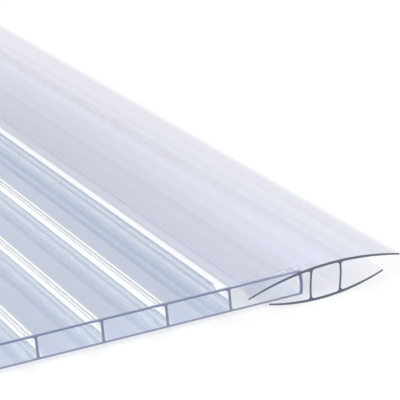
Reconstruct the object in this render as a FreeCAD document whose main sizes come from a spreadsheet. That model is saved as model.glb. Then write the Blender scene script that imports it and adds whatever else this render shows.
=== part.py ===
import FreeCAD, Part
import math
import os
import Sketcher

# Clear twin-wall polycarbonate sheet with a one-piece joining profile pushed on its right edge.
# All sizes in millimetres. X runs across the sheet, Y along its cells, away from the front cut end, Z up.
# The origin is at the middle of the underside of the whole part.

DRIVING_SIZES = {
    "sheet_length": 1000,
    "sheet_thickness": 10,
    "cell_count": 26,
    "cell_pitch": 26.5,
    "edge_cell_pitch": 30.3,
    "skin_thickness": 0.8,
    "web_thickness": 1.1,
    "cell_corner": 0.7,
    "edge_bow": 0.6,
    "edge_gap": 0.75,
    "rib_spacing": 12.5,
    "rib_thickness": 0.9,
    "rib_bow": 0.35,
    "rib_lean": 2,
    "rib_fillet": 1.1,
    "slot_clearance": 1.9,
    "flange_wall": 1.1,
    "flange_tip_wall": 0.7,
    "flange_root": 2.5,
    "top_flange_width": 66.4,
    "top_tip_bend": 4.65,
    "bottom_flange_width": 50.2,
    "bottom_tip_bend": 3.5,
    "profile_tilt": 3,
    "grip_clearance": 0.1,
    "grip_crown": 0.2,
    "free_end": 5.2,
    "spring_back_start": 0.4,
}

document = FreeCAD.newDocument("multiwall_sheet")
sizes = document.addObject("Spreadsheet::Sheet", "sizes")
for row, (alias, size) in enumerate(DRIVING_SIZES.items(), start=1):
    sizes.set(f"A{row}", alias)
    sizes.set(f"B{row}", str(size))
    sizes.setAlias(f"B{row}", alias)
document.recompute()


# Worked-out sizes, as expressions over the sheet of driving sizes
def of(alias):
    return f"sizes.{alias}"


def arc_radius(chord, rise):
    """Radius of the arc that rises by `rise` over the middle of a chord."""
    return f"((({chord}) / 2)^2 + ({rise})^2) / (2 * ({rise}))"


EDGE_CELL_START = f"(({of('cell_count')} - 1) * {of('cell_pitch')})"
SHEET_WIDTH = f"({EDGE_CELL_START} + {of('edge_cell_pitch')} + {of('web_thickness')})"
HALF_THICKNESS = f"({of('sheet_thickness')} / 2)"
CHAMBER_HEIGHT = f"({of('sheet_thickness')} + {of('slot_clearance')})"
HALF_CHAMBER = f"({CHAMBER_HEIGHT} / 2)"
HALF_HEIGHT = f"({HALF_CHAMBER} + {of('flange_wall')})"
RIB_INNER = f"({of('rib_spacing')} / 2 - {of('rib_thickness')} / 2)"
RIB_OUTER = f"({of('rib_spacing')} / 2 + {of('rib_thickness')} / 2)"
HALF_LEAN = f"({of('rib_lean')} / 2)"
RIB_RADIUS = arc_radius(CHAMBER_HEIGHT, of("rib_bow"))
ROOT = f"({RIB_OUTER} + {of('flange_root')})"
TOTAL_LENGTH = f"({of('sheet_length')} + {of('free_end')})"

# The profile tilts about the middle of the sheet's edge, its free side up
TILT = f"({of('profile_tilt')} * 1 deg)"
EDGE_TO_CENTRE = f"({of('edge_gap')} + {RIB_OUTER})"
PROFILE_CENTRE = f"({SHEET_WIDTH} + {of('edge_bow')} + {EDGE_TO_CENTRE} * cos({TILT}))"
PROFILE_LIFT = f"({EDGE_TO_CENTRE} * sin({TILT}))"


# Sketching
def value_of(expression):
    return float(sizes.evalExpression(expression))


def section_sketch(body, name, ahead="0"):
    """Empty sketch across the length, `ahead` millimetres in front of the body's own origin."""
    sketch = body.newObject("Sketcher::SketchObject", name)
    plane = next(item for item in body.Origin.OriginFeatures if item.Role == "XZ_Plane")
    sketch.AttachmentSupport = [(plane, "")]
    sketch.MapMode = "FlatFace"
    sketch.setExpression("AttachmentOffset.Base.z", ahead)
    return sketch


def arc_between(start, end, radius, side):
    """Arc from start to end, and whether its own direction runs that way. Its centre lies to the
    left of the way from start to end where side is 1, and to the right where it is -1."""
    chord = end - start
    across = FreeCAD.Vector(-chord.y, chord.x, 0).normalize()
    reach = math.sqrt(max(radius**2 - (chord.Length / 2) ** 2, 0))
    centre = (start + end) * 0.5 + across * (side * reach)
    circle = Part.Circle(centre, FreeCAD.Vector(0, 0, 1), radius)
    first, last = (start, end) if side > 0 else (end, start)
    angles = [math.atan2(spot.y - centre.y, spot.x - centre.x) for spot in (first, last)]
    return Part.ArcOfCircle(circle, angles[0], angles[1]), side > 0


def bind(sketch, constraint, expression):
    index = sketch.addConstraint(constraint)
    sketch.setExpression(f"Constraints[{index}]", expression)


def place_point(sketch, edge, end, across, up):
    """Holds one end of an edge at the place that two expressions give."""
    for kind, axis, expression in (("DistanceX", -2, across), ("DistanceY", -1, up)):
        size = value_of(expression)
        if abs(size) < 1e-9:
            sketch.addConstraint(Sketcher.Constraint("PointOnObject", edge, end, axis))
        else:
            bind(sketch, Sketcher.Constraint(kind, -1, 1, edge, end, size), expression)


def closed_outline(sketch, corners, bends):
    """Closed outline through the corners, each a pair of expressions. A bend is None for a
    straight edge, or the arc's radius and side, for the edge that leaves the corner."""
    spots = [FreeCAD.Vector(value_of(across), value_of(up), 0) for across, up in corners]
    edges = []
    for index, bend in enumerate(bends):
        start, end = spots[index], spots[(index + 1) % len(spots)]
        if bend is None:
            edges.append((sketch.addGeometry(Part.LineSegment(start, end), False), 1, 2))
            continue
        radius, side = bend
        arc, forward = arc_between(start, end, value_of(radius), side)
        edge = sketch.addGeometry(arc, False)
        edges.append((edge, 1, 2) if forward else (edge, 2, 1))
        bind(sketch, Sketcher.Constraint("Radius", edge, value_of(radius)), radius)
    for index, (edge, first, last) in enumerate(edges):
        following, its_first, _ = edges[(index + 1) % len(edges)]
        sketch.addConstraint(Sketcher.Constraint("Coincident", edge, last, following, its_first))
        place_point(sketch, edge, first, *corners[index])


def along_length(body, kind, name, sketch, length):
    """Pad or pocket of a section sketch, away from the front end."""
    feature = body.newObject(kind, name)
    feature.Profile = sketch
    feature.setExpression("Length", length)
    feature.Reversed = kind == "PartDesign::Pad"
    return feature


# Twin-wall sheet: two skins held apart by webs, one long open cell between each two webs
def cell_outline(sketch, left, right, right_bend=None):
    corner = of("cell_corner")
    low = of("skin_thickness")
    high = f"{of('sheet_thickness')} - {of('skin_thickness')}"
    corners = [
        (f"{left} + {corner}", low),
        (f"{right} - {corner}", low),
        (right, f"{low} + {corner}"),
        (right, f"{high} - {corner}"),
        (f"{right} - {corner}", high),
        (f"{left} + {corner}", high),
        (left, f"{high} - {corner}"),
        (left, f"{low} + {corner}"),
    ]
    round_corner = (corner, 1)
    bends = [None, round_corner, right_bend, round_corner, None, round_corner, None, round_corner]
    closed_outline(sketch, corners, bends)


def make_sheet():
    body = document.addObject("PartDesign::Body", "twinwall_sheet")
    edge_radius = arc_radius(of("sheet_thickness"), of("edge_bow"))
    blank_sketch = section_sketch(body, "blank_section")
    thickness = of("sheet_thickness")
    corners = [("0", "0"), (SHEET_WIDTH, "0"), (SHEET_WIDTH, thickness), ("0", thickness)]
    closed_outline(blank_sketch, corners, [None, (edge_radius, 1), None, None])
    along_length(body, "PartDesign::Pad", "blank", blank_sketch, of("sheet_length"))
    document.recompute()

    first_sketch = section_sketch(body, "cell_section")
    cell_outline(first_sketch, of("web_thickness"), of("cell_pitch"))
    first_cell = along_length(body, "PartDesign::Pocket", "cell", first_sketch, of("sheet_length"))
    document.recompute()

    cells = body.newObject("PartDesign::LinearPattern", "cells")
    cells.Originals = [first_cell]
    cells.Direction = (first_sketch, ["H_Axis"])
    cells.setExpression("Length", f"{of('cell_pitch')} * ({of('cell_count')} - 2)")
    cells.setExpression("Occurrences", f"{of('cell_count')} - 1")
    body.Tip = cells
    document.recompute()

    # The last cell follows the bowed edge, so that its end web is as thick as the others
    last_sketch = section_sketch(body, "edge_cell_section")
    left = f"({EDGE_CELL_START} + {of('web_thickness')})"
    right = f"({EDGE_CELL_START} + {of('edge_cell_pitch')})"
    inner_bend = (f"{edge_radius} - {of('web_thickness')}", 1)
    cell_outline(last_sketch, left, right, inner_bend)
    along_length(body, "PartDesign::Pocket", "edge_cell", last_sketch, of("sheet_length"))
    body.setExpression("Placement.Base.x", f"-{TOTAL_WIDTH} / 2")
    body.setExpression("Placement.Base.y", f"-{TOTAL_LENGTH} / 2 + {of('free_end')}")
    body.setExpression("Placement.Base.z", UNDERSIDE)
    return body


# Joining profile: two curved flanges on two ribs that make a chamber, with a slot on each side.
# Its own X is 0 midway between the ribs, and its own Z is 0 at half the height of the slots.
class Flange:
    """One flange, above the slots where `sense` is 1 and below them where it is -1."""

    def __init__(self, name, width, tip_bend, sense):
        self.name = name
        self.sense = sense
        self.half_width = f"({of(width)} / 2)"
        self.tip_bend = of(tip_bend)
        self.outer_bend = f"({of(tip_bend)} + {of('flange_wall')} - {of('flange_tip_wall')})"
        self.inner_radius = arc_radius(of(width), self.tip_bend)
        self.outer_radius = arc_radius(of(width), self.outer_bend)

    def level(self, height):
        return f"{self.sense} * ({height})"

    def inner(self, across):
        """Height of the inner face at a distance across from the middle."""
        radius = self.inner_radius
        return self.level(f"{HALF_CHAMBER} - {radius} + sqrt(({radius})^2 - ({across})^2)")

    def outer(self, across):
        radius = self.outer_radius
        return self.level(f"{HALF_HEIGHT} - {radius} + sqrt(({radius})^2 - ({across})^2)")

    def rib_foot(self, across):
        """Where the face of a rib meets the flange. The ribs lean, their upper ends to the right."""
        place = f"({across} + {self.sense} * {HALF_LEAN})"
        return place, self.inner(place)


SPRING_BACK_STEPS = 4
TOP = Flange("top", "top_flange_width", "top_tip_bend", 1)
BOTTOM = Flange("bottom", "bottom_flange_width", "bottom_tip_bend", -1)

# Extents of the whole part, to its rightmost flange tip and its lowest line
def tip_reach(flange):
    return f"({flange.half_width} * cos({TILT}) - ({flange.inner(flange.half_width)}) * sin({TILT}))"


TOTAL_WIDTH = f"({PROFILE_CENTRE} + max({tip_reach(TOP)}; {tip_reach(BOTTOM)}))"
UNDERSIDE = (
    f"max({BOTTOM.outer_radius} - ({BOTTOM.outer_radius} - {HALF_HEIGHT}) * cos({TILT})"
    f" - {PROFILE_LIFT} - {HALF_THICKNESS}; 0)"
)


def core_outline(sketch):
    """Ribs, chamber, the free right-hand slot and the roots of the left-hand flanges."""
    top_tip = (TOP.half_width, TOP.inner(TOP.half_width))
    top_tip_outside = (TOP.half_width, TOP.outer(TOP.half_width))
    bottom_tip = (BOTTOM.half_width, BOTTOM.inner(BOTTOM.half_width))
    bottom_tip_outside = (BOTTOM.half_width, BOTTOM.outer(BOTTOM.half_width))
    corners = [
        bottom_tip_outside,
        bottom_tip,
        BOTTOM.rib_foot(RIB_OUTER),
        TOP.rib_foot(RIB_OUTER),
        top_tip,
        top_tip_outside,
        (f"-{ROOT}", TOP.outer(ROOT)),
        (f"-{ROOT}", TOP.inner(ROOT)),
        TOP.rib_foot(f"-{RIB_OUTER}"),
        BOTTOM.rib_foot(f"-{RIB_OUTER}"),
        (f"-{ROOT}", BOTTOM.inner(ROOT)),
        (f"-{ROOT}", BOTTOM.outer(ROOT)),
    ]
    bends = [
        None,
        (BOTTOM.inner_radius, -1),
        (RIB_RADIUS, -1),
        (TOP.inner_radius, -1),
        None,
        (TOP.outer_radius, 1),
        None,
        (TOP.inner_radius, -1),
        (RIB_RADIUS, -1),
        (BOTTOM.inner_radius, -1),
        None,
        (BOTTOM.outer_radius, 1),
    ]
    closed_outline(sketch, corners, bends)


def chamber_outline(sketch):
    corners = [
        BOTTOM.rib_foot(f"-{RIB_INNER}"),
        BOTTOM.rib_foot(RIB_INNER),
        TOP.rib_foot(RIB_INNER),
        TOP.rib_foot(f"-{RIB_INNER}"),
    ]
    bends = [(BOTTOM.inner_radius, 1), (RIB_RADIUS, -1), (TOP.inner_radius, 1), (RIB_RADIUS, -1)]
    closed_outline(sketch, corners, bends)


def round_rib_feet(body, core):
    """Fillets where the ribs meet the flanges, all along the profile."""
    faces = [RIB_INNER, RIB_OUTER, f"-{RIB_INNER}", f"-{RIB_OUTER}"]
    feet = [flange.rib_foot(face) for flange in (TOP, BOTTOM) for face in faces]
    places = [(value_of(across), value_of(up)) for across, up in feet]
    names = []
    for number, edge in enumerate(core.Shape.Edges, start=1):
        ends = [vertex.Point for vertex in edge.Vertexes]
        if len(ends) != 2 or abs(ends[0].y - ends[1].y) < 1:
            continue
        if any(math.dist((ends[0].x, ends[0].z), place) < 0.01 for place in places):
            names.append(f"Edge{number}")
    fillet = body.newObject("PartDesign::Fillet", "rib_feet")
    fillet.Base = (core, names)
    fillet.setExpression("Radius", of("rib_fillet"))
    document.recompute()


def gripping_tip(flange):
    """Height of the inner tip that lies on the sheet's skin, in the profile's own tilted frame."""
    skin = f"{flange.sense} * ({HALF_THICKNESS} + {of('grip_clearance')})"
    return f"(({skin} - {PROFILE_LIFT} + {flange.half_width} * sin({TILT})) / cos({TILT}))"


def blend(start, end, share):
    return f"(({start}) * (1 - {share}) + ({end}) * {share})"


def half_outline(sketch, flange, share):
    """Left half of a flange: held open by the sheet where share is 0, in its free shape where it
    is 1, and part of the way between them."""
    tip_inside = blend(gripping_tip(flange), flange.inner(flange.half_width), share)
    tip_outside = f"{tip_inside} + {flange.level(of('flange_tip_wall'))}"
    held_radius = arc_radius(f"({flange.half_width} - {ROOT})", of("grip_crown"))
    inner_bend = blend(f"1 / ({held_radius})", f"1 / ({flange.inner_radius})", share)
    outer_bend = blend(f"1 / ({held_radius})", f"1 / ({flange.outer_radius})", share)
    corners = [
        (f"-{ROOT}", flange.outer(ROOT)),
        (f"-{flange.half_width}", tip_outside),
        (f"-{flange.half_width}", tip_inside),
        (f"-{ROOT}", flange.inner(ROOT)),
    ]
    sense = flange.sense
    bends = [(f"1 / {outer_bend}", sense), None, (f"1 / {inner_bend}", -sense), None]
    closed_outline(sketch, corners, bends)


def left_flange(body, flange):
    """The half flange over the sheet, and its end in front of the sheet, which springs back."""
    start = of("spring_back_start")
    held = section_sketch(body, f"{flange.name}_gripping_section", start)
    half_outline(held, flange, 0)
    held_length = f"{of('sheet_length')} + {start}"
    along_length(body, "PartDesign::Pad", f"{flange.name}_grip", held, held_length)
    document.recompute()
    sections = []
    for step in range(1, SPRING_BACK_STEPS + 1):
        way = step / SPRING_BACK_STEPS
        ahead = blend(start, of("free_end"), way)
        section = section_sketch(body, f"{flange.name}_spring_back_{step}", ahead)
        half_outline(section, flange, way**2 * (3 - 2 * way))
        sections.append(section)
    document.recompute()
    free_end = body.newObject("PartDesign::AdditiveLoft", f"{flange.name}_free_end")
    free_end.Profile = held
    free_end.Sections = sections
    document.recompute()


def make_joining_profile():
    body = document.addObject("PartDesign::Body", "joining_profile")
    sketch = section_sketch(body, "core_section", of("free_end"))
    core_outline(sketch)
    chamber_outline(sketch)
    core = along_length(body, "PartDesign::Pad", "core", sketch, TOTAL_LENGTH)
    document.recompute()
    round_rib_feet(body, core)
    left_flange(body, TOP)
    left_flange(body, BOTTOM)
    body.setExpression("Placement.Base.x", f"{PROFILE_CENTRE} - {TOTAL_WIDTH} / 2")
    body.setExpression("Placement.Base.y", f"-{TOTAL_LENGTH} / 2 + {of('free_end')}")
    body.setExpression("Placement.Base.z", f"{UNDERSIDE} + {HALF_THICKNESS} + {PROFILE_LIFT}")
    body.Placement.Rotation = FreeCAD.Rotation(FreeCAD.Vector(0, -1, 0), 1)
    body.setExpression("Placement.Rotation.Angle", TILT)
    return body


# Build, check and write
def check_document(pieces):
    for item in document.Objects:
        if "Invalid" in item.State or "Error" in item.State:
            raise RuntimeError(f"{item.Name} failed: {item.State}")
    for piece in pieces:
        if piece.Shape.isNull() or not piece.Shape.isValid() or len(piece.Shape.Solids) != 1:
            raise RuntimeError(f"{piece.Name} is not one valid solid")


def write_parts(pieces):
    os.makedirs("parts", exist_ok=True)
    for piece in pieces:
        piece.Shape.exportStep(os.path.join("parts", f"{piece.Label}.step"))
        box = piece.Shape.BoundBox
        low = [round(edge, 3) for edge in (box.XMin, box.YMin, box.ZMin)]
        high = [round(edge, 3) for edge in (box.XMax, box.YMax, box.ZMax)]
        print(piece.Label, low, high, "volume", round(piece.Shape.Volume))


finished = [make_sheet(), make_joining_profile()]
document.recompute()
check_document(finished)
write_parts(finished)
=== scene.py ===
import math
from collections import namedtuple

import bmesh
import bpy
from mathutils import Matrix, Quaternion, Vector
from mathutils.geometry import tessellate_polygon


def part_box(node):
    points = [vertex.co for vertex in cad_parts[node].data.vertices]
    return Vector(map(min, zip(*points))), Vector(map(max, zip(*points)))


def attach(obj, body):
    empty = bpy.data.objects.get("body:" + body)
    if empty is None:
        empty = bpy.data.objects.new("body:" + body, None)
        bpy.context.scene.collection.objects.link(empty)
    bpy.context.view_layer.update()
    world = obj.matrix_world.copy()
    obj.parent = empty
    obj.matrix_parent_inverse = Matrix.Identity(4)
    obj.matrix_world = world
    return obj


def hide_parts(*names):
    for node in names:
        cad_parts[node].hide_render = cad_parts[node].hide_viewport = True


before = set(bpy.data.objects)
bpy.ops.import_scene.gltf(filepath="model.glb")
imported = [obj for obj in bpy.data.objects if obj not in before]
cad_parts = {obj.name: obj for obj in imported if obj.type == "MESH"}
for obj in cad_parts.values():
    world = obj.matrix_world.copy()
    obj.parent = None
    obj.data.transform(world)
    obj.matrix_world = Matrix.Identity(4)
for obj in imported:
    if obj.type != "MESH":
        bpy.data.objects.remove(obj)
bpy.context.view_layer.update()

# Clear twin-wall sheet in a clear joining profile. Metres; X across the sheet, Y along its cells,
# away from the front cut end, Z up.
MM = 0.001

SHEET_LOW, SHEET_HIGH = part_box("twinwall_sheet")
PROFILE_LOW, PROFILE_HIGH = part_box("joining_profile")
THICKNESS = SHEET_HIGH.z - SHEET_LOW.z

# Sheet
CELL_COUNT = 26
CELL_PITCH = 26.5 * MM
EDGE_CELL_PITCH = 30.3 * MM
SKIN = 0.8 * MM
WEB = 1.1 * MM
CELL_CORNER = 0.7 * MM
EDGE_BOW = 0.6 * MM
CORNER_STEPS = 6
EDGE_STEPS = 12

# Left faces of the last two webs, and the edge of the skins
LAST_WEB = SHEET_LOW.x + (CELL_COUNT - 1) * CELL_PITCH
EDGE_WEB = LAST_WEB + EDGE_CELL_PITCH
SKIN_EDGE = EDGE_WEB + WEB

# Joining profile, in its own frame: X from midway between the ribs, Z from half the slots' height
TOP_WIDTH = 66.4 * MM
TOP_BEND = 4.65 * MM
BOTTOM_WIDTH = 50.2 * MM
BOTTOM_BEND = 3.5 * MM
FLANGE_WALL = 1.1 * MM
TIP_WALL = 0.7 * MM
FLANGE_ROOT = 2.5 * MM
RIB_MIDDLE = 6.25 * MM
RIB_THICKNESS = 0.9 * MM
RIB_BOW = 0.35 * MM
RIB_LEAN = 2 * MM
RIB_FILLET = 1.1 * MM
FILLET_RISE = 1.2 * RIB_FILLET
FILLET_REACH = 1.25 * RIB_FILLET
HALF_CHAMBER = 5.95 * MM
FLANGE_STEPS = 28
FOOT_STEPS = 3
CHAMBER_STEPS = 6
RIB_STEPS = 24

RIB_INNER = RIB_MIDDLE - RIB_THICKNESS / 2
RIB_OUTER = RIB_MIDDLE + RIB_THICKNESS / 2
ROOT = RIB_OUTER + FLANGE_ROOT
HALF_HEIGHT = HALF_CHAMBER + FLANGE_WALL

# The profile's grip on the sheet, and its free end in front of the sheet
PROFILE_TILT = math.radians(3)
EDGE_GAP = 0.75 * MM
GRIP_CLEARANCE = 0.1 * MM
GRIP_CROWN = 0.2 * MM
FREE_END = 5.2 * MM
SPRING_BACK_START = 0.4 * MM
SPRING_BACK_STEPS = 10

# Meshes
SAME_PLACE = 0.001 * MM
SHARP_ANGLE = math.radians(35)

# The lines beside the webs are painted highlights, white on the top skin.
# Lines on the top skin beside the webs. A line starts this far to the left of its web's left face
# and runs further left by its width.
Line = namedtuple("Line", "finish start width")
WEB_LINE = Line("web_line", start=0.3 * MM, width=0.85 * MM)
LAST_WEB_LINE = Line("last_line", start=-0.3 * MM, width=2.4 * MM)

# Margin of the top skin with a painted reflection of the flange, and the border on its left, from the last
# web's left face
BORDER_START = 1.1 * MM
BORDER_WIDTH = 0.8 * MM
MARGIN_END = 7.5 * MM

# Lines on a cell's ceiling: a grey line at a set distance from the cell's right wall, a thin one from its
# corner's arc
GREY_LINE_OFFSET = 2.45 * MM
GREY_LINE_WIDTH = 0.55 * MM
CORNER_LINE_START = 0.1 * MM
CORNER_LINE_END = 0.5 * MM

# Finishes of a cell's faces. The web is the wall on the cell's right.
CellFinish = namedtuple("CellFinish", "floor web low_corner top_corner has_lines")
INNER_CELL = CellFinish("floor", "web", "low_corner", "top_corner", has_lines=True)
LAST_CELL = CellFinish("last_floor", "last_web", "last_low_corner", "corner", has_lines=False)
EDGE_CELL = CellFinish("edge_floor", "edge_web", "low_corner", "top_corner", has_lines=True)

# How far a finish reaches behind the front end of its piece
RIM = 1.2 * MM
OPEN_END = 15 * MM
OPENING_REACH = 24 * MM
SLIVER_REACH = 14 * MM
CLEAR_END = 7 * MM
FAR_BACK = 240 * MM

# Colours that show in the haze
WHITE = (0.99, 0.985, 0.98)
STREAK_WHITE = (0.84, 0.93, 1.0)
LINE_WHITE = (0.88, 0.91, 0.95)
LINE_GREY = (0.50, 0.51, 0.55)
BORDER_GREY = (0.42, 0.45, 0.49)
PALE_BLUE = (0.70, 0.76, 0.86)
LILAC = (0.51, 0.54, 0.66)
MARGIN_LILAC = (0.515, 0.55, 0.71)
FULL_LILAC = (0.615, 0.64, 0.85)
RIM_SHADE = (0.24, 0.29, 0.46)
CUT_LOW_SKIN = (0.36, 0.37, 0.52)
CUT_FOOT = (0.28, 0.32, 0.52)
CUT_HEAD = (0.24, 0.29, 0.50)
CUT_TOP_SKIN = (0.22, 0.265, 0.44)
END_SHADE = (0.115, 0.137, 0.205)

# Tints of the light that passes
TOP_TINT = (0.993, 0.994, 0.997)
FLOOR_TINT = (0.775, 0.815, 0.892)
# Painted light: OPENING_TINT and EDGE_TINT pass more light near the open end and in the edge cell, where
# the ground lies in shade
OPENING_TINT = (0.86, 0.90, 0.98)
EDGE_TINT = (0.95, 0.965, 0.99)
# SLIVER_TINT: the edge cell's painted highlight sliver passes all light
SLIVER_TINT = (1.0, 1.0, 1.0)
WEB_TINT = (0.93, 0.945, 0.965)
LAST_WEB_TINT = (0.80, 0.825, 0.88)
# LAST_WEB_STREAK: painted light, a bright streak along the last web
LAST_WEB_STREAK = (0.96, 0.98, 1.0)
LOW_CORNER_TINT = (0.90, 0.92, 0.955)
PROFILE_TINT = (0.975, 0.978, 0.993)
CUT_TINT = (0.6, 0.65, 0.8)
END_TINT = (0.5, 0.55, 0.65)
MIRROR_TINT = (0.96, 0.97, 1.0)

# Plastic. A surface is calm or flat by the strength of its ripples.
PLASTIC_IOR = 1.58
HAZE_ROUGHNESS = 0.35
RIPPLE_HEIGHT = 0.2 * MM
CALM_SURFACE = 0.05
FLAT_SURFACE = 0.0

# Scales of noise, across the cells and along them
RIPPLES = (120.0, 1.0)
SOFT_STREAKS = (90.0, 0.7)
FINE_STREAKS = (210.0, 0.5)
NOISE_DETAIL = 3.0

# How far up the haze and colours of a web move at the open end, as a share of the sheet's height
WEB_LIFT = 0.13
LAST_WEB_LIFT = -0.25

# Painted highlights: slivers on the floors, as shares of a cell's width
SLIVER_START = 0.074
EDGE_SLIVER_START = 0.22
SLIVER_SLANT = 0.105
SLIVER_HALF_WIDTH = 0.016
SLIVER_CORE = 0.008
SLIVER_HAZE = 0.9

# Haze of the rim and of the edge web's clear part. The flange's shares: of the haze and of the gloss
# that the bend in front of the sheet loses, and of the haze that is lost seen through the wall.
RIM_HAZE = 0.85
EDGE_WEB_HAZE = 0.05
CLEARED_SHARE = 0.65
DULLED_SHARE = 0.97
SEEN_THROUGH = 0.85

# Studio
FLOOR_SIZE = 12.0
FLOOR_SHADE = 0.38
FLOOR_GLOW = 0.62
SOFT_LIGHT = 0.45
KEY_LIGHT = 3.0
KEY_DIRECTION = Vector((-0.85, -0.30, 0.43))
KEY_SPREAD = math.radians(40)
BACK_LIGHT = 0.8
BACK_DIRECTION = Vector((0.45, 0.55, 0.75))
BACK_SPREAD = math.radians(30)
CLEAR_BOUNCES = 32

# Camera
CAMERA_PLACE = Vector((-0.005312, -1.235963, 0.310028))
CAMERA_AZIMUTH = math.radians(-21.617)
CAMERA_ELEVATION = math.radians(18.162)
CAMERA_ROLL = math.radians(5.836)
CAMERA_LENS = 198.2
CAMERA_SENSOR = 36
CAMERA_CLIP = (0.01, 50)


# Nodes. The owner of a node is a material or the world.
def new_material(name):
    material = bpy.data.materials.new(name)
    material.use_nodes = True
    material.node_tree.nodes.clear()
    return material


def add_node(owner, kind, **values):
    node = owner.node_tree.nodes.new(kind)
    for key, value in values.items():
        setattr(node, key, value)
    return node


def link(owner, output, target):
    owner.node_tree.links.new(output, target)


def put(owner, socket, value):
    """Sets a socket to a plain value, or links it where the value is another node's output."""
    if isinstance(value, bpy.types.NodeSocket):
        link(owner, value, socket)
    else:
        socket.default_value = value


def math_node(owner, operation, first, second=0.0):
    node = add_node(owner, "ShaderNodeMath", operation=operation)
    put(owner, node.inputs[0], first)
    put(owner, node.inputs[1], second)
    return node.outputs[0]


def product(owner, first, *others):
    for other in others:
        first = math_node(owner, "MULTIPLY", first, other)
    return first


def rest_of(owner, share):
    return math_node(owner, "SUBTRACT", 1.0, share)


def blended(owner, first, second, share):
    """The first value where the share is 0, the second where it is 1."""
    rest = rest_of(owner, share)
    return math_node(owner, "ADD", product(owner, first, rest), product(owner, second, share))


def mix_shader(owner, share, first, second):
    """The first shader where the share is 0, the second where it is 1."""
    node = add_node(owner, "ShaderNodeMixShader")
    put(owner, node.inputs[0], share)
    link(owner, first, node.inputs[1])
    link(owner, second, node.inputs[2])
    return node.outputs[0]


def show(owner, shader, kind="ShaderNodeOutputMaterial"):
    output = add_node(owner, kind)
    link(owner, shader, output.inputs["Surface"])


def ramp(material, factor, stops):
    """Colour ramp over stops of (place, grey or colour)."""
    node = add_node(material, "ShaderNodeValToRGB")
    elements = node.color_ramp.elements
    while len(elements) < len(stops):
        elements.new(0.5)
    for element, (place, shade) in zip(elements, stops):
        element.position = place
        element.color = (*shade, 1) if isinstance(shade, tuple) else (shade, shade, shade, 1)
    link(material, factor, node.inputs[0])
    return node.outputs["Color"]


def fade_out(material, way, start):
    """1 up to the start, and down to 0 at the end of the way."""
    return ramp(material, way, [(start, 1.0), (1.0, 0.0)])


def shaded(material, shade, colour):
    """The colour times a shade of 0 to 1."""
    return ramp(material, shade, [(0.0, 0.0), (1.0, colour)])


def lengthwise_noise(material, scales):
    """Noise drawn out along the cells, like the flow lines of an extrusion."""
    across, along = scales
    place = add_node(material, "ShaderNodeTexCoord")
    stretch = add_node(material, "ShaderNodeMapping")
    stretch.inputs["Scale"].default_value = (across, along, across)
    link(material, place.outputs["Object"], stretch.inputs["Vector"])
    noise = add_node(material, "ShaderNodeTexNoise")
    noise.inputs["Scale"].default_value = 1.0
    noise.inputs["Detail"].default_value = NOISE_DETAIL
    link(material, stretch.outputs["Vector"], noise.inputs["Vector"])
    return noise.outputs["Fac"]


# Places on the object, as shares
def share_along(material, axis, start, reach):
    """0 at the start on an axis, 1 at the reach past it."""
    place = add_node(material, "ShaderNodeTexCoord")
    split = add_node(material, "ShaderNodeSeparateXYZ")
    link(material, place.outputs["Object"], split.inputs[0])
    past = math_node(material, "SUBTRACT", split.outputs[axis], start)
    return math_node(material, "DIVIDE", past, reach)


def height_in_sheet(material):
    """0 at the sheet's underside, 1 at its top."""
    return share_along(material, "Z", SHEET_LOW.z, THICKNESS)


def behind_cut(material, reach):
    """0 at the sheet's front cut end, 1 at the reach behind it."""
    return share_along(material, "Y", SHEET_LOW.y, reach)


def place_in_cell(material):
    """0 at the left face of a web, 1 at the left face of the next web."""
    return math_node(material, "FRACT", share_along(material, "X", SHEET_LOW.x, CELL_PITCH))


def place_across_profile(material):
    """0 at the profile's left edge, 1 at its right edge."""
    return share_along(material, "X", PROFILE_LOW.x, PROFILE_HIGH.x - PROFILE_LOW.x)


# Clear plastic
def resolved(material, value):
    """A number or a colour as a socket takes it. A function of the material adds its nodes first."""
    if callable(value):
        return value(material)
    return (*value, 1) if isinstance(value, tuple) else value


def rippled_normal(material, strength):
    bump = add_node(material, "ShaderNodeBump")
    bump.inputs["Strength"].default_value = strength
    bump.inputs["Distance"].default_value = RIPPLE_HEIGHT
    link(material, lengthwise_noise(material, RIPPLES), bump.inputs["Height"])
    return bump.outputs["Normal"]


def mirror_share(material, gloss):
    """Share of light that a wall's outer side mirrors. Its inner side mirrors none."""
    fresnel = add_node(material, "ShaderNodeFresnel")
    fresnel.inputs["IOR"].default_value = PLASTIC_IOR
    facing = add_node(material, "ShaderNodeNewGeometry")
    outside = math_node(material, "SUBTRACT", gloss, facing.outputs["Backfacing"])
    return product(material, fresnel.outputs[0], math_node(material, "MAXIMUM", outside, 0.0))


def clear_plastic(name, tint, body, haze, gloss=1.0, roughness=0.08, waviness=0.1):
    """Clear plastic wall: it passes light in its tint, shows its body colour by the share of haze,
    and mirrors as polycarbonate does. Tint, body, haze and gloss may be functions that add nodes."""
    material = new_material(name)
    material.use_transparent_shadow = True
    passing = add_node(material, "ShaderNodeBsdfTransparent")
    put(material, passing.inputs["Color"], resolved(material, tint))
    solid = add_node(material, "ShaderNodeBsdfPrincipled")
    solid.inputs["Roughness"].default_value = HAZE_ROUGHNESS
    solid.inputs["IOR"].default_value = PLASTIC_IOR
    put(material, solid.inputs["Base Color"], resolved(material, body))
    seen = mix_shader(material, resolved(material, haze), passing.outputs[0], solid.outputs[0])
    mirror = add_node(material, "ShaderNodeBsdfGlossy")
    mirror.inputs["Color"].default_value = (*MIRROR_TINT, 1)
    mirror.inputs["Roughness"].default_value = roughness
    link(material, rippled_normal(material, waviness), mirror.inputs["Normal"])
    share = mirror_share(material, resolved(material, gloss))
    show(material, mix_shader(material, share, seen, mirror.outputs[0]))
    return material


# The sheet's finishes
def rim_haze(haze):
    """Haze that turns dense along the rim of the front cut end, to show the painted shade there."""
    def add_haze(material):
        return ramp(material, behind_cut(material, RIM), [(0.6, RIM_HAZE), (1.0, haze)])
    return add_haze


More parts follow.
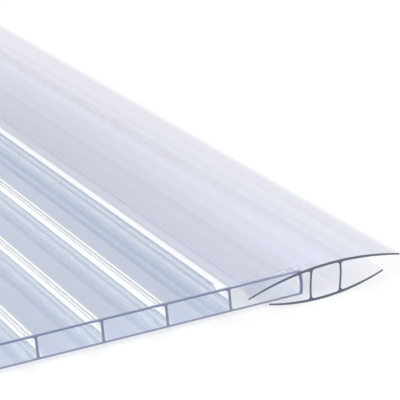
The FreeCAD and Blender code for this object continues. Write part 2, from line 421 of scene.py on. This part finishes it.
def rim_body(body):
    """Painted shade: body colour that turns dark along the rim of the front cut end."""
    def add_body(material):
        return ramp(material, behind_cut(material, RIM), [(0.6, RIM_SHADE), (0.95, body)])
    return add_body


def cut_body(material):
    """The cut end is darker towards the top skin."""
    stops = [(0.04, CUT_LOW_SKIN), (0.12, CUT_FOOT), (0.90, CUT_HEAD), (0.96, CUT_TOP_SKIN)]
    return ramp(material, height_in_sheet(material), stops)


def margin_body(material):
    """Painted reflection of the flange: the margin is lilac, and darker further back."""
    shade = ramp(material, behind_cut(material, FAR_BACK), [(0.1, 0.95), (1.0, 0.80)])
    return shaded(material, shade, MARGIN_LILAC)


def web_height(material, lift):
    """Height in the sheet, less a lift that counts only where the open cell is looked into."""
    near = fade_out(material, behind_cut(material, OPEN_END), start=0.7)
    return math_node(material, "SUBTRACT", height_in_sheet(material), product(material, near, lift))


def web_haze(material):
    """Painted reflection: webs are white from a third of their height, with a soft border and pale feet."""
    stops = [
        (0.08, 0.06), (0.12, 0.10), (0.17, 0.08), (0.21, 0.65), (0.27, 0.65), (0.32, 0.90), (0.34, 1.0),
    ]
    return ramp(material, web_height(material, WEB_LIFT), stops)


def web_body(material):
    """Painted reflection on the web: bluish feet, a grey border and white above."""
    stops = [(0.18, STREAK_WHITE), (0.21, BORDER_GREY), (0.27, BORDER_GREY), (0.33, WHITE)]
    return ramp(material, web_height(material, WEB_LIFT), stops)


def last_web_tint(material):
    """Painted light: a bright streak runs along the last web, somewhat over a third of the way up."""
    stops = [(0.31, LAST_WEB_TINT), (0.35, LAST_WEB_STREAK), (0.40, LAST_WEB_STREAK), (0.45, LAST_WEB_TINT)]
    return ramp(material, height_in_sheet(material), stops)


def last_web_haze(material):
    """Painted reflection: the last web before the edge cell is white only near its top."""
    stops = [
        (0.10, 0.10), (0.14, 0.08), (0.28, 0.10), (0.36, 0.10), (0.44, 0.14), (0.50, 0.22), (0.57, 0.22),
        (0.62, 0.42), (0.70, 0.56), (0.77, 0.9), (0.80, 1.0),
    ]
    return ramp(material, web_height(material, LAST_WEB_LIFT), stops)


def last_web_body(material):
    """Painted reflection on the last web: bluish below, a grey border and white above."""
    stops = [
        (0.40, STREAK_WHITE), (0.46, PALE_BLUE), (0.58, PALE_BLUE), (0.63, BORDER_GREY),
        (0.70, BORDER_GREY), (0.77, WHITE),
    ]
    return ramp(material, web_height(material, LAST_WEB_LIFT), stops)


def edge_web_haze(material):
    """Painted reflection: the sheet's own edge is white in its upper half near the open end, and clear
    elsewhere.
    """
    near = fade_out(material, behind_cut(material, OPEN_END), start=0.6)
    upper = ramp(material, height_in_sheet(material), [(0.47, 0.08), (0.50, 1.0)])
    return math_node(material, "MAXIMUM", product(material, near, upper), EDGE_WEB_HAZE)


def sliver_haze(material, start):
    """Painted highlight: bright slanting sliver on a cell's floor near the open end, right of the web on
    its left.
    """
    slant = product(material, behind_cut(material, SLIVER_REACH), SLIVER_SLANT)
    straightened = math_node(material, "SUBTRACT", place_in_cell(material), slant)
    beside = math_node(material, "SUBTRACT", straightened, start)
    stops = [
        (0.5 - SLIVER_HALF_WIDTH, 0.0), (0.5 - SLIVER_CORE, SLIVER_HAZE),
        (0.5 + SLIVER_CORE, SLIVER_HAZE), (0.5 + SLIVER_HALF_WIDTH, 0.0),
    ]
    line = ramp(material, math_node(material, "ADD", beside, 0.5), stops)
    near = fade_out(material, behind_cut(material, SLIVER_REACH), start=0.6)
    return product(material, line, near)


def streak_haze(material, stops):
    """Painted light: haze of a floor by the place in its cell, with the painted highlight sliver at the
    foot of the web.
    """
    streak = ramp(material, place_in_cell(material), stops)
    return math_node(material, "MAXIMUM", streak, sliver_haze(material, SLIVER_START))


def floor_haze(material):
    """Painted light: a pale streak lies on each cell's floor before the next web."""
    return streak_haze(material, [
        (0.81, 0.01), (0.84, 0.15), (0.865, 0.28), (0.90, 0.31), (0.947, 0.34), (0.965, 0.46), (0.98, 0.46),
    ])


def last_floor_haze(material):
    """The painted light streak before the last web is narrower and weaker."""
    return streak_haze(material, [(0.88, 0.01), (0.91, 0.10), (0.95, 0.22), (0.99, 0.30)])


def floor_tint(material):
    """Painted light: the floor is paler near the open end, as if more light came in there."""
    return ramp(material, behind_cut(material, OPENING_REACH), [(0.8, OPENING_TINT), (1.0, FLOOR_TINT)])


def edge_floor_tint(material):
    """The edge cell's painted highlight sliver passes all light."""
    sliver = sliver_haze(material, EDGE_SLIVER_START)
    return ramp(material, sliver, [(0.0, EDGE_TINT), (0.8, SLIVER_TINT)])


# The profile's finishes
def spring_back_share(material):
    """1 where the flange bends back to its free shape in front of the sheet, and 0 elsewhere."""
    behind_end = share_along(material, "Y", SHEET_LOW.y - FREE_END, CLEAR_END)
    front = fade_out(material, behind_end, start=0.7)
    left = ramp(material, place_across_profile(material), [(0.36, 1.0), (0.46, 0.0)])
    return product(material, front, left)


def flange_gloss(material):
    """Full gloss, but hardly any along the bend in front of the sheet."""
    return rest_of(material, product(material, spring_back_share(material), DULLED_SHARE))


def flange_body(material):
    """Painted shade: the flange is darker over the sheet, more so further back, and darker over its right
    rib.
    """
    place = place_across_profile(material)
    near = ramp(material, place, [
        (0.0, 0.71), (0.25, 0.73), (0.285, 0.86), (0.33, 0.82), (0.38, 0.90), (0.42, 0.87), (0.51, 0.94),
        (0.55, 0.91), (0.59, 0.75), (0.635, 0.70), (0.68, 0.86), (1.0, 0.80),
    ])
    far = ramp(material, place, [
        (0.0, 0.54), (0.25, 0.58), (0.285, 0.69), (0.33, 0.63), (0.42, 0.65), (0.51, 0.80),
        (0.545, 0.76), (0.585, 0.42), (0.63, 0.54), (0.67, 0.74), (1.0, 0.70),
    ])
    back = ramp(material, behind_cut(material, FAR_BACK), [(0.1, 0.0), (1.0, 1.0)])
    flow = ramp(material, lengthwise_noise(material, FINE_STREAKS), [(0.36, 0.88), (0.64, 1.02)])
    return shaded(material, product(material, blended(material, near, far, back), flow), FULL_LILAC)


def flange_haze(material):
    """Soft lengthwise streaks, denser over the sheet, clearer where the flange bends back in front of
    it and along the right edge. Seen from below, through the wall, the face is clearer still."""
    streaks = lengthwise_noise(material, SOFT_STREAKS)
    soft = ramp(material, streaks, [(0.35, 0.80), (0.5, 0.87), (0.65, 0.94)])
    grown = rest_of(material, product(material, spring_back_share(material), CLEARED_SHARE))
    spread = ramp(material, place_across_profile(material), [
        (0.0, 1.0), (0.22, 0.97), (0.30, 0.85), (0.42, 0.70), (0.58, 0.66), (0.93, 0.70), (1.0, 0.2),
    ])
    facing = add_node(material, "ShaderNodeNewGeometry")
    outside = rest_of(material, product(material, facing.outputs["Backfacing"], SEEN_THROUGH))
    return product(material, soft, grown, spread, outside)


# Materials, by the name of the finish that an outline gives to a run of its faces
def skin_finishes():
    return {
        "top_skin": clear_plastic(
            "clear_skin", TOP_TINT, rim_body(PALE_BLUE), rim_haze(0.02), gloss=0.15, waviness=CALM_SURFACE),
        # Margin: painted reflection of the flange, lilac over the top skin
        "margin": clear_plastic("flange_reflection_margin", TOP_TINT, margin_body, rim_haze(0.65), gloss=0.4),
        "margin_border": clear_plastic(
            "margin_border", TOP_TINT, rim_body(BORDER_GREY), rim_haze(0.88), gloss=0.2),
        # Painted highlights: white lines beside the webs
        "web_line": clear_plastic("web_line", TOP_TINT, rim_body(WHITE), haze=0.95, gloss=0.2),
        "last_line": clear_plastic("last_web_line", TOP_TINT, rim_body(LINE_WHITE), haze=0.92, gloss=0.2),
        "underside": clear_plastic("sheet_underside", FLOOR_TINT, PALE_BLUE, haze=0.02),
        "edge_underside": clear_plastic("edge_underside", EDGE_TINT, PALE_BLUE, haze=0.02),
        "cut": clear_plastic("sheet_cut_end", CUT_TINT, cut_body, haze=0.92, gloss=0.2, roughness=0.3),
    }


def floor_and_ceiling_finishes():
    return {
        "ceiling": clear_plastic(
            "cell_ceiling", TOP_TINT, PALE_BLUE, haze=0.01, gloss=0.3, waviness=CALM_SURFACE),
        # Grey lines on the ceiling beside the webs
        "grey_line": clear_plastic("ceiling_grey_line", TOP_TINT, LINE_GREY, haze=0.90, gloss=0.2),
        "floor": clear_plastic("cell_floor", floor_tint, STREAK_WHITE, floor_haze, waviness=CALM_SURFACE),
        "last_floor": clear_plastic(
            "last_floor", floor_tint, STREAK_WHITE, last_floor_haze, waviness=CALM_SURFACE),
        "edge_floor": clear_plastic(
            "edge_floor", edge_floor_tint, WHITE, haze=0.02, gloss=0.7, waviness=CALM_SURFACE),
    }


def web_finishes():
    return {
        # Webs: painted reflection, white in their upper part
        "web": clear_plastic("web_face", WEB_TINT, web_body, web_haze, gloss=0.1, waviness=FLAT_SURFACE),
        "last_web": clear_plastic(
            "last_web", last_web_tint, last_web_body, last_web_haze, gloss=0.1, waviness=FLAT_SURFACE),
        "edge_web": clear_plastic(
            "edge_web", TOP_TINT, WHITE, edge_web_haze, gloss=0.2, waviness=FLAT_SURFACE),
        # Painted highlight: the fillet at a web's foot is white.
        "foot": clear_plastic("web_foot", TOP_TINT, WHITE, haze=0.45, gloss=0.2),
        "corner": clear_plastic("cell_corner", TOP_TINT, WHITE, haze=0.06, gloss=0.2),
        "top_corner": clear_plastic("cell_top_corner", TOP_TINT, LINE_GREY, haze=0.30, gloss=0.2),
        # Painted light: the low corners carry on the floors' pale streak.
        "low_corner": clear_plastic("cell_low_corner", LOW_CORNER_TINT, STREAK_WHITE, haze=0.30, gloss=0.2),
        "last_low_corner": clear_plastic(
            "last_low_corner", LAST_WEB_TINT, STREAK_WHITE, haze=0.10, gloss=0.2),
    }


def profile_finishes():
    return {
        "flange_top": clear_plastic("flange_face", PROFILE_TINT, flange_body, flange_haze, flange_gloss),
        "flange_inside": clear_plastic("flange_inside", PROFILE_TINT, LILAC, haze=0.02, gloss=0.3),
        "flange_under": clear_plastic("flange_underside", PROFILE_TINT, LILAC, haze=0.08, gloss=0.5),
        "slot_floor": clear_plastic("slot_floor", PROFILE_TINT, WHITE, haze=0.06, gloss=0.4),
        "rib": clear_plastic("rib_face", PROFILE_TINT, WHITE, haze=0.03, gloss=0.3),
        "end": clear_plastic("profile_cut_end", END_TINT, END_SHADE, haze=0.97, gloss=0.2, roughness=0.3),
    }


def make_materials():
    return {**skin_finishes(), **floor_and_ceiling_finishes(), **web_finishes(), **profile_finishes()}


# Arcs and outlines
def arc_points(start, end, radius, side, steps):
    """Points from start to end on an arc, whose centre lies to the left of the way where side is 1."""
    start = Vector(start)
    end = Vector(end)
    chord = end - start
    across = Vector((-chord.y, chord.x)).normalized()
    reach = math.sqrt(max(radius ** 2 - (chord.length / 2) ** 2, 0))
    centre = (start + end) / 2 + across * side * reach
    first = math.atan2(start.y - centre.y, start.x - centre.x)
    turn = 2 * math.asin(min(chord.length / 2 / radius, 1)) * side
    angles = (first + turn * step / steps for step in range(steps + 1))
    return [(centre.x + radius * math.cos(angle), centre.y + radius * math.sin(angle)) for angle in angles]


def arc_radius(chord, rise):
    return ((chord / 2) ** 2 + rise ** 2) / (2 * rise)


def arc_drop(radius, across):
    """How far an arc lies below its crown, at a place across from it."""
    return radius - math.sqrt(radius ** 2 - across ** 2)


def curve_points(height, start, end, steps):
    """Points from start to end on the curve that the function height gives."""
    places = (start + (end - start) * step / steps for step in range(steps + 1))
    return [(x, height(x)) for x in places]


class Outline:
    """Closed outline that grows run by run, with the finish of each run's faces."""

    def __init__(self):
        self.points = []
        self.finishes = []

    def run(self, points, finish):
        for point in points:
            if self.points and (Vector(point) - Vector(self.points[-1])).length < SAME_PLACE:
                self.finishes[-1] = finish
                continue
            self.points.append(point)
            self.finishes.append(finish)


# Meshes from sections across the length
def tube(name, stations, finishes, cap_finish, materials):
    """Solid through like sections. A station is its Y and its outlines, the outer one first; an
    outline is a list of (x, z), and finishes names the material of the face from each point."""
    names = list(dict.fromkeys([cap_finish, *(finish for row in finishes for finish in row)]))
    station_size = sum(len(row) for row in finishes)
    vertices = [(x, y, z) for y, outlines in stations for outline in outlines for x, z in outline]
    faces = []
    marks = []
    for number in range(len(stations) - 1):
        start = number * station_size
        for row in finishes:
            for index, finish in enumerate(row):
                one = start + index
                two = start + (index + 1) % len(row)
                faces.append((one, two, two + station_size, one + station_size))
                marks.append(names.index(finish))
            start += len(row)
    for number in (0, len(stations) - 1):
        flat = [[Vector((x, z, 0)) for x, z in outline] for outline in stations[number][1]]
        start = number * station_size
        for face in tessellate_polygon(flat):
            faces.append(tuple(start + corner for corner in face))
            marks.append(names.index(cap_finish))
    mesh = bpy.data.meshes.new(name)
    mesh.from_pydata(vertices, [], faces)
    mesh.polygons.foreach_set("material_index", marks)
    for finish in names:
        mesh.materials.append(materials[finish])
    piece = bpy.data.objects.new(name, mesh)
    bpy.context.scene.collection.objects.link(piece)
    tidy_normals(piece)
    return piece


def tidy_normals(piece):
    """Turns every face outwards, and shades curves smooth and flats flat."""
    mesh = piece.data
    work = bmesh.new()
    work.from_mesh(mesh)
    bmesh.ops.recalc_face_normals(work, faces=work.faces)
    work.to_mesh(mesh)
    work.free()
    mesh.shade_smooth()
    mesh.set_sharp_from_angle(angle=SHARP_ANGLE)
    even = piece.modifiers.new("even_normals", "WEIGHTED_NORMAL")
    even.keep_sharp = True


# Sheet
def cell_outline(left, right, finish, bow_radius=None):
    """Hole of one cell between its walls. Its right wall is bowed where a radius is given."""
    low = SHEET_LOW.z + SKIN
    high = SHEET_HIGH.z - SKIN
    low_bend = low + CELL_CORNER
    high_bend = high - CELL_CORNER
    left_bend = left + CELL_CORNER
    right_bend = right - CELL_CORNER
    wall = [(right, low_bend), (right, high_bend)]
    if bow_radius:
        wall = arc_points(*wall, bow_radius, 1, EDGE_STEPS)

    def corner(start, end):
        return arc_points(start, end, CELL_CORNER, 1, CORNER_STEPS)

    cell = Outline()
    cell.run([(left_bend, low), (right_bend, low)], finish.floor)
    cell.run(corner((right_bend, low), (right, low_bend)), finish.low_corner)
    cell.run(wall, finish.web)
    cell.run(corner((right, high_bend), (right_bend, high)), finish.top_corner)
    cell.run([(right_bend, high)], "ceiling")
    if finish.has_lines:
        line = right - GREY_LINE_OFFSET
        cell.run([(right_bend - CORNER_LINE_START, high)], "grey_line")
        cell.run([(right_bend - CORNER_LINE_END, high)], "ceiling")
        cell.run([(line + GREY_LINE_WIDTH / 2, high)], "grey_line")
        cell.run([(line - GREY_LINE_WIDTH / 2, high)], "ceiling")
    cell.run(corner((left_bend, high), (left, high_bend)), "corner")
    cell.run([(left, high_bend)], "web")
    cell.run(corner((left, low_bend), (left_bend, low))[:-1], "foot")
    return cell


def blank_outline(bow_radius):
    """Outside of the sheet's section, anticlockwise from its lower left corner."""
    left = SHEET_LOW.x
    low = SHEET_LOW.z
    high = SHEET_HIGH.z
    blank = Outline()
    blank.run([(left, low)], "underside")
    blank.run([(LAST_WEB, low), (SKIN_EDGE, low)], "edge_underside")
    blank.run(arc_points((SKIN_EDGE, low), (SKIN_EDGE, high), bow_radius, 1, EDGE_STEPS), "edge_web")
    blank.run([(SKIN_EDGE, high)], "top_skin")
    blank.run([(LAST_WEB + MARGIN_END, high)], "margin")
    blank.run([(LAST_WEB + BORDER_START + BORDER_WIDTH, high)], "margin_border")
    blank.run([(LAST_WEB + BORDER_START, high)], "top_skin")
    for number in range(CELL_COUNT - 1, 0, -1):
        line = LAST_WEB_LINE if number == CELL_COUNT - 1 else WEB_LINE
        line_start = left + number * CELL_PITCH - line.start
        blank.run([(line_start, high)], line.finish)
        blank.run([(line_start - line.width, high)], "top_skin")
    blank.run([(left, high)], "web")
    return blank


def make_sheet(materials):
    bow_radius = arc_radius(THICKNESS, EDGE_BOW)
    outlines = [blank_outline(bow_radius)]
    for number in range(CELL_COUNT - 1):
        start = SHEET_LOW.x + number * CELL_PITCH
        finish = LAST_CELL if number == CELL_COUNT - 2 else INNER_CELL
        outlines.append(cell_outline(start + WEB, start + CELL_PITCH, finish))
    outlines.append(cell_outline(LAST_WEB + WEB, EDGE_WEB, EDGE_CELL, bow_radius - WEB))
    section = [outline.points for outline in outlines]
    stations = [(SHEET_LOW.y, section), (SHEET_HIGH.y, section)]
    finishes = [outline.finishes for outline in outlines]
    return tube("clear_twinwall_sheet", stations, finishes, "cut", materials)


# Profile
class Flange:
    """One flange of the profile, above the slots where sense is 1 and below them where it is -1."""

    def __init__(self, width, tip_bend, sense):
        self.sense = sense
        self.half_width = width / 2
        self.inner_radius = arc_radius(width, tip_bend)
        self.outer_radius = arc_radius(width, tip_bend + FLANGE_WALL - TIP_WALL)

    def inner(self, across):
        return self.sense * (HALF_CHAMBER - arc_drop(self.inner_radius, across))

    def outer(self, across):
        return self.sense * (HALF_HEIGHT - arc_drop(self.outer_radius, across))

    def gripping_tip(self):
        """Height of the inner tip where it lies on the sheet's skin, in the tilted frame."""
        lift = (EDGE_GAP + RIB_OUTER) * math.sin(PROFILE_TILT)
        skin = self.sense * (THICKNESS / 2 + GRIP_CLEARANCE) - lift
        return (skin + self.half_width * math.sin(PROFILE_TILT)) / math.cos(PROFILE_TILT)

    def left_half(self, share):
        """Outer and inner runs of the half over the sheet, from the root to the tip: held open by
        the sheet where share is 0, and in its free shape where it is 1."""
        tip = self.gripping_tip() * (1 - share) + self.inner(self.half_width) * share
        held_bend = (1 - share) / arc_radius(self.half_width - ROOT, GRIP_CROWN)

        def half_run(root_height, tip_height, free_radius):
            radius = 1 / (held_bend + share / free_radius)
            root_place = (-ROOT, root_height)
            tip_place = (-self.half_width, tip_height)
            return arc_points(root_place, tip_place, radius, self.sense, FLANGE_STEPS)

        outer = half_run(self.outer(ROOT), tip + self.sense * TIP_WALL, self.outer_radius)
        inner = half_run(self.inner(ROOT), tip, self.inner_radius)
        return outer, inner


TOP = Flange(TOP_WIDTH, TOP_BEND, 1)
BOTTOM = Flange(BOTTOM_WIDTH, BOTTOM_BEND, -1)


def rib_foot(across, flange):
    """Where the face of a rib meets a flange. The ribs lean, their upper ends to the right."""
    place = across + flange.sense * RIB_LEAN / 2
    return place, flange.inner(place)


def rib_face(across):
    """Bowed face of a rib between its fillets, upwards on the right rib and downwards on the left."""
    side = 1 if across > 0 else -1
    low = rib_foot(across, BOTTOM)
    high = rib_foot(across, TOP)
    points = arc_points(low, high, arc_radius(2 * HALF_CHAMBER, RIB_BOW), side, RIB_STEPS)
    kept = [point for point in points if low[1] + FILLET_RISE <= point[1] <= high[1] - FILLET_RISE]
    return kept[::side]


def round_corner(before, corner, after):
    """Fillet in a corner between two nearly straight runs."""
    corner = Vector(corner)
    one = (Vector(before) - corner).normalized()
    two = (Vector(after) - corner).normalized()
    reach = RIB_FILLET / math.tan(one.angle(two) / 2)
    turn = one.x * two.y - one.y * two.x
    side = -1 if turn > 0 else 1
    return arc_points(corner + one * reach, corner + two * reach, RIB_FILLET, side, CORNER_STEPS)


def beside_rib(outline, across, outwards):
    """Fillet, rib face and fillet. The flanges go on to the right of the face where outwards is 1,
    and to its left where it is -1."""
    face = rib_face(across)
    first, last = (BOTTOM, TOP) if across > 0 else (TOP, BOTTOM)

    def beside(flange):
        place = rib_foot(across, flange)[0] + outwards * RIB_FILLET
        return place, flange.inner(place)

    outline.run(round_corner(beside(first), rib_foot(across, first), face[0]), "rib")
    outline.run(face, "rib")
    outline.run(round_corner(face[-1], rib_foot(across, last), beside(last)), "rib")


def shell_outline(share):
    """Outside of the profile's section, anticlockwise from the top flange's right tip. The left
    flanges are held open by the sheet where share is 0, and in their free shape where it is 1."""
    top_outer, top_inner = TOP.left_half(share)
    bottom_outer, bottom_inner = BOTTOM.left_half(share)
    left_head = rib_foot(-RIB_OUTER, TOP)[0] - FILLET_REACH
    left_foot = rib_foot(-RIB_OUTER, BOTTOM)[0] - FILLET_REACH
    right_foot = rib_foot(RIB_OUTER, BOTTOM)[0] + FILLET_REACH
    right_head = rib_foot(RIB_OUTER, TOP)[0] + FILLET_REACH
    shell = Outline()
    shell.run(curve_points(TOP.outer, TOP.half_width, -ROOT, 2 * FLANGE_STEPS), "flange_top")
    shell.run(top_outer[:-1], "flange_top")
    shell.run(top_outer[-1:], "flange_inside")
    shell.run(top_inner[::-1], "flange_inside")
    shell.run(curve_points(TOP.inner, -ROOT, left_head, FOOT_STEPS), "flange_inside")
    beside_rib(shell, -RIB_OUTER, -1)
    shell.run(curve_points(BOTTOM.inner, left_foot, -ROOT, FOOT_STEPS), "slot_floor")
    shell.run(bottom_inner, "slot_floor")
    shell.run(bottom_outer[::-1], "flange_under")
    shell.run(curve_points(BOTTOM.outer, -ROOT, BOTTOM.half_width, 2 * FLANGE_STEPS), "flange_under")
    shell.run(curve_points(BOTTOM.inner, BOTTOM.half_width, right_foot, FLANGE_STEPS), "slot_floor")
    beside_rib(shell, RIB_OUTER, 1)
    shell.run(curve_points(TOP.inner, right_head, TOP.half_width, FLANGE_STEPS), "flange_inside")
    return shell


def chamber_outline():
    """Hole between the ribs."""
    low = rib_foot(0, BOTTOM)[0]
    high = rib_foot(0, TOP)[0]
    inside = RIB_INNER - FILLET_REACH
    chamber = Outline()
    chamber.run(curve_points(BOTTOM.inner, low - inside, low + inside, CHAMBER_STEPS), "slot_floor")
    beside_rib(chamber, RIB_INNER, -1)
    chamber.run(curve_points(TOP.inner, high + inside, high - inside, CHAMBER_STEPS), "flange_inside")
    beside_rib(chamber, -RIB_INNER, 1)
    return chamber


def smooth_step(way):
    return way ** 2 * (3 - 2 * way)


def make_profile(materials):
    cos = math.cos(PROFILE_TILT)
    sin = math.sin(PROFILE_TILT)
    reach = EDGE_GAP + RIB_OUTER
    middle_x = SKIN_EDGE + EDGE_BOW + reach * cos
    middle_z = SHEET_LOW.z + THICKNESS / 2 + reach * sin

    def station(y, share):
        outlines = [shell_outline(share), chamber_outline()]
        return y, [
            [(middle_x + x * cos - z * sin, middle_z + x * sin + z * cos) for x, z in outline.points]
            for outline in outlines
        ]

    stations = []
    for step in range(SPRING_BACK_STEPS + 1):
        way = 1 - step / SPRING_BACK_STEPS
        ahead = SPRING_BACK_START + (FREE_END - SPRING_BACK_START) * way
        stations.append(station(SHEET_LOW.y - ahead, smooth_step(way)))
    stations.append(station(SHEET_HIGH.y, 0))
    finishes = [shell_outline(0).finishes, chamber_outline().finishes]
    return tube("clear_joining_profile", stations, finishes, "end", materials)


# Studio
def seen_ray(owner):
    """1 for camera, glossy and transmission rays, which see the plain white surroundings."""
    rays = add_node(owner, "ShaderNodeLightPath")
    direct = math_node(owner, "MAXIMUM", rays.outputs["Is Camera Ray"], rays.outputs["Is Glossy Ray"])
    return math_node(owner, "MAXIMUM", direct, rays.outputs["Is Transmission Ray"])


def make_floor_material():
    material = new_material("white_floor")
    lit = add_node(material, "ShaderNodeBsdfDiffuse")
    lit.inputs["Color"].default_value = (FLOOR_SHADE, FLOOR_SHADE, FLOOR_SHADE, 1)
    glow = add_node(material, "ShaderNodeEmission")
    glow.inputs["Color"].default_value = (1, 1, 1, 1)
    link(material, product(material, seen_ray(material), FLOOR_GLOW), glow.inputs["Strength"])
    both = add_node(material, "ShaderNodeAddShader")
    link(material, lit.outputs[0], both.inputs[0])
    link(material, glow.outputs[0], both.inputs[1])
    show(material, both.outputs[0])
    return material


def make_floor():
    half = FLOOR_SIZE / 2
    corners = [(-half, -half, 0), (half, -half, 0), (half, half, 0), (-half, half, 0)]
    mesh = bpy.data.meshes.new("floor")
    mesh.from_pydata(corners, [], [(0, 1, 2, 3)])
    mesh.materials.append(make_floor_material())
    floor = bpy.data.objects.new("floor", mesh)
    bpy.context.scene.collection.objects.link(floor)


def background(world, strength):
    node = add_node(world, "ShaderNodeBackground")
    node.inputs["Color"].default_value = (1, 1, 1, 1)
    node.inputs["Strength"].default_value = strength
    return node.outputs[0]


def make_world():
    """Soft light on the object. The rays that are seen meet plain white."""
    world = bpy.data.worlds.new("studio")
    world.use_nodes = True
    world.node_tree.nodes.clear()
    soft = background(world, SOFT_LIGHT)
    white = background(world, 1.0)
    show(world, mix_shader(world, seen_ray(world), soft, white), "ShaderNodeOutputWorld")
    bpy.context.scene.world = world


def make_lamp(name, strength, direction, spread):
    lamp = bpy.data.lights.new(name, "SUN")
    lamp.energy = strength
    lamp.angle = spread
    holder = bpy.data.objects.new(name, lamp)
    holder.rotation_mode = "QUATERNION"
    holder.rotation_quaternion = direction.to_track_quat("Z", "Y")
    bpy.context.scene.collection.objects.link(holder)


def make_camera():
    camera = bpy.data.objects.new("camera", bpy.data.cameras.new("camera"))
    camera.data.lens = CAMERA_LENS
    camera.data.sensor_width = CAMERA_SENSOR
    camera.data.clip_start, camera.data.clip_end = CAMERA_CLIP
    level = math.cos(CAMERA_ELEVATION)
    back = Vector((
        math.sin(CAMERA_AZIMUTH) * level,
        -math.cos(CAMERA_AZIMUTH) * level,
        math.sin(CAMERA_ELEVATION),
    ))
    camera.rotation_mode = "QUATERNION"
    camera.rotation_quaternion = back.to_track_quat("Z", "Y") @ Quaternion((0, 0, 1), -CAMERA_ROLL)
    camera.location = CAMERA_PLACE
    bpy.context.scene.collection.objects.link(camera)
    bpy.context.scene.camera = camera


scene = bpy.context.scene
scene.view_settings.view_transform = "Standard"
scene.cycles.transparent_max_bounces = CLEAR_BOUNCES
materials = make_materials()

sheet = make_sheet(materials)
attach(sheet, "root")
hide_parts("twinwall_sheet")

profile = make_profile(materials)
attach(profile, "root")
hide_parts("joining_profile")

make_floor()
make_world()
make_lamp("key_light", KEY_LIGHT, KEY_DIRECTION, KEY_SPREAD)
make_lamp("back_light", BACK_LIGHT, BACK_DIRECTION, BACK_SPREAD)
make_camera()
